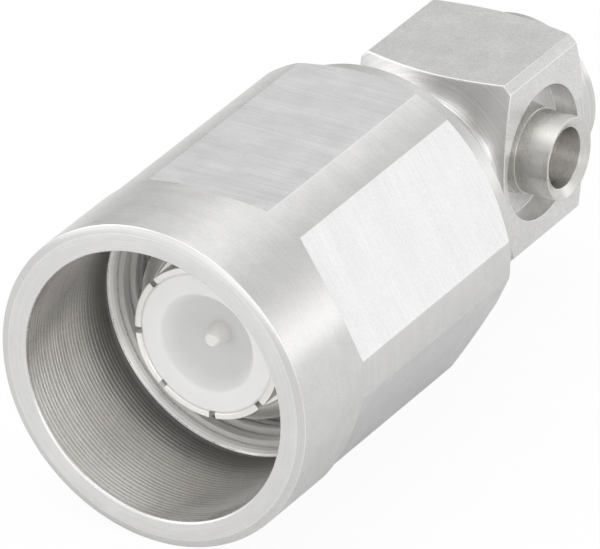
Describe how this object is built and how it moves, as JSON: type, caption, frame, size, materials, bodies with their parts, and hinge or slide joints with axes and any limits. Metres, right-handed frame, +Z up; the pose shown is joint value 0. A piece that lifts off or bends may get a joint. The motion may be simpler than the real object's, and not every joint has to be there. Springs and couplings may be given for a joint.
{
  "type": "coaxial connector",
  "caption": "Right-angle coaxial plug for semi-rigid cable, with a sprung hexagonal coupling nut that turns.",
  "frame": {"origin": "on the plug axis, in the plane of the coupling nut's mouth", "axes": "+Y runs back along the plug axis (the mating part leaves along -Y), +X is the way the cable leaves, +Z is up, square to the body's flat top"},
  "size_m": [0.0196, 0.0408, 0.0196],
  "materials": {
    "plated_brass": "white bronze, fine turned",
    "spring_steel": "rolled",
    "contact_alloy": "silver plated",
    "white_insulator": "machined",
    "seal_rubber": "matte"
  },
  "bodies": {
    "connector_body": {"angle_body": "plated_brass", "front_shell": "plated_brass", "flange_seal": "seal_rubber", "outer_contact": "contact_alloy", "front_insulator": "white_insulator", "support_bead": "white_insulator", "line_insulator": "white_insulator", "centre_contact": "contact_alloy", "solder_tail": "contact_alloy", "rear_cap": "plated_brass", "cap_pad": "white_insulator", "cable_ferrule": "plated_brass", "ferrule_bead": "white_insulator", "rear_washer": "spring_steel", "wave_spring": "spring_steel"},
    "slide_carriage": {"front_washer": "spring_steel", "guide_bush": "plated_brass", "wiper_ring": "seal_rubber"},
    "nut": {"coupling_nut": "plated_brass", "retaining_ring": "spring_steel"}
  },
  "joints": [
    {"name": "nut_pull", "type": "slide", "parent": "connector_body", "child": "slide_carriage", "axis": [0, 1, 0], "range_m": [0, 0.002], "stiffness_N_per_m": 2500, "springref_m": -0.0015, "deforming": ["wave_spring"]},
    {"name": "nut_turn", "type": "hinge", "parent": "slide_carriage", "child": "nut", "pos_m": [0, 0.012, 0], "axis": [0, 1, 0], "continuous": true}
  ]
}
